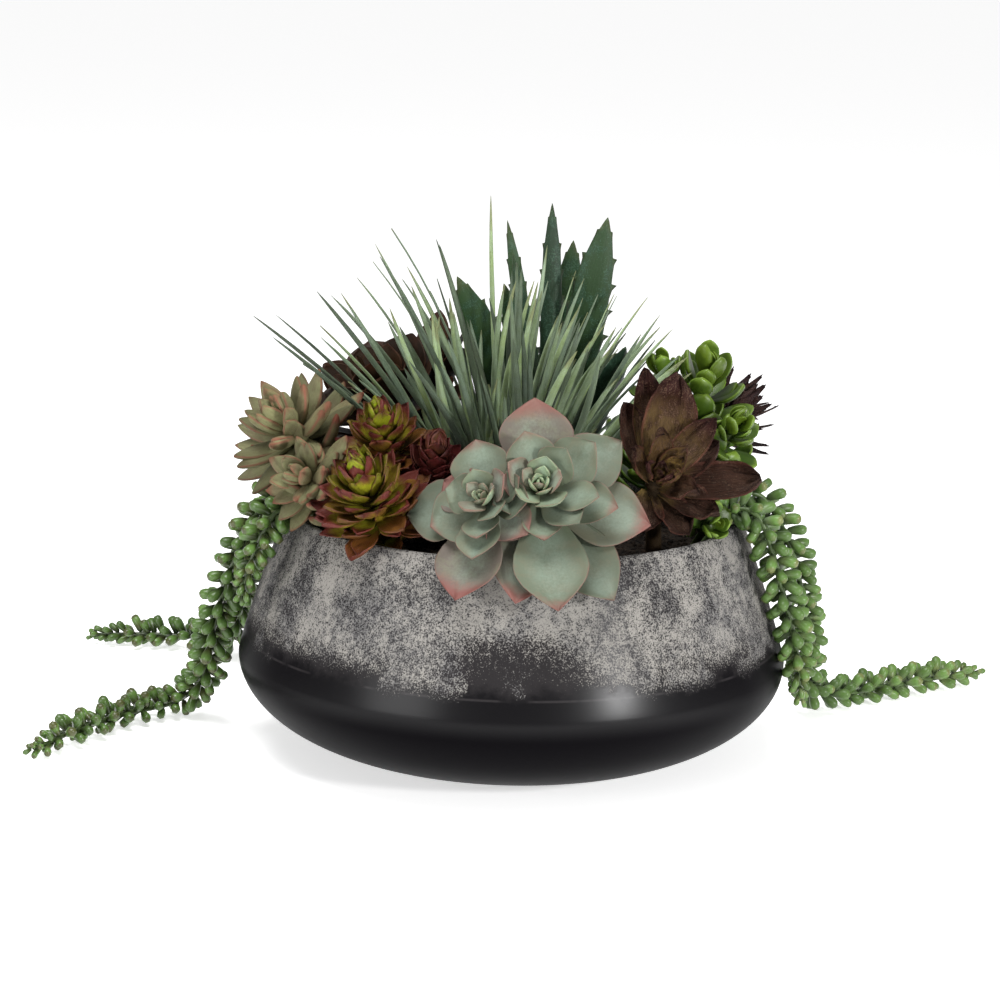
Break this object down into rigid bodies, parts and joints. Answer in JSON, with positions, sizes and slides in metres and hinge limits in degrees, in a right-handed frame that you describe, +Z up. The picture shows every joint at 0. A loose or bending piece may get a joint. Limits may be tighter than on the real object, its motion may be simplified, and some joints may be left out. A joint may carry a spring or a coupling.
{
  "type": "succulent dish garden",
  "caption": "Low round stoneware bowl planted with succulent rosettes, a tuft of narrow blades, a toothed aloe and trailing beaded strands.",
  "frame": {"origin": "centre of the bowl's foot, on the surface it stands on", "axes": "+Z up; +X towards the right-hand trailing strand, with the large rosette at the front, towards -Y"},
  "size_m": [0.5549, 0.3589, 0.311],
  "materials": {
    "stoneware": "satin black glaze below, chalky worn grey above",
    "potting_mix": "loose, rough",
    "powdery_sage": "powdery bloom, pink edges",
    "red_rosette": "soft sheen",
    "dusty_olive": "dusty matte",
    "chocolate_leaf": "soft sheen",
    "deep_green": "soft sheen",
    "maroon_leaf": "soft sheen, mottled",
    "apple_green": "waxy sheen",
    "purple_leaf": "soft sheen",
    "grey_green_blade": "matte",
    "bead_green": "soft sheen"
  },
  "bodies": {
    "root": {"bowl": "stoneware", "potting_mix": "potting_mix", "echeveria": "powdery_sage", "maroon_rosette": "maroon_leaf", "red_rosette_front": "red_rosette", "red_rosette_back": "red_rosette", "red_rosette_small": "red_rosette", "dusty_rosette_upper": "dusty_olive", "dusty_rosette_lower": "dusty_olive", "dusty_rosette_back": "dusty_olive", "chocolate_rosette": "chocolate_leaf", "chocolate_rosette_tall": "chocolate_leaf", "green_rosette_top": "apple_green", "green_rosette_inner": "apple_green", "green_rosette_side": "apple_green", "green_rosette_low": "apple_green", "green_rosette_back": "apple_green", "purple_rosette": "purple_leaf", "toothed_aloe": "deep_green", "blade_tuft": "grey_green_blade", "strand_left_long": "bead_green", "strand_left_back": "bead_green", "strand_left_short": "bead_green", "strand_right_long": "bead_green", "strand_right_short": "bead_green"}
  },
  "joints": []
}
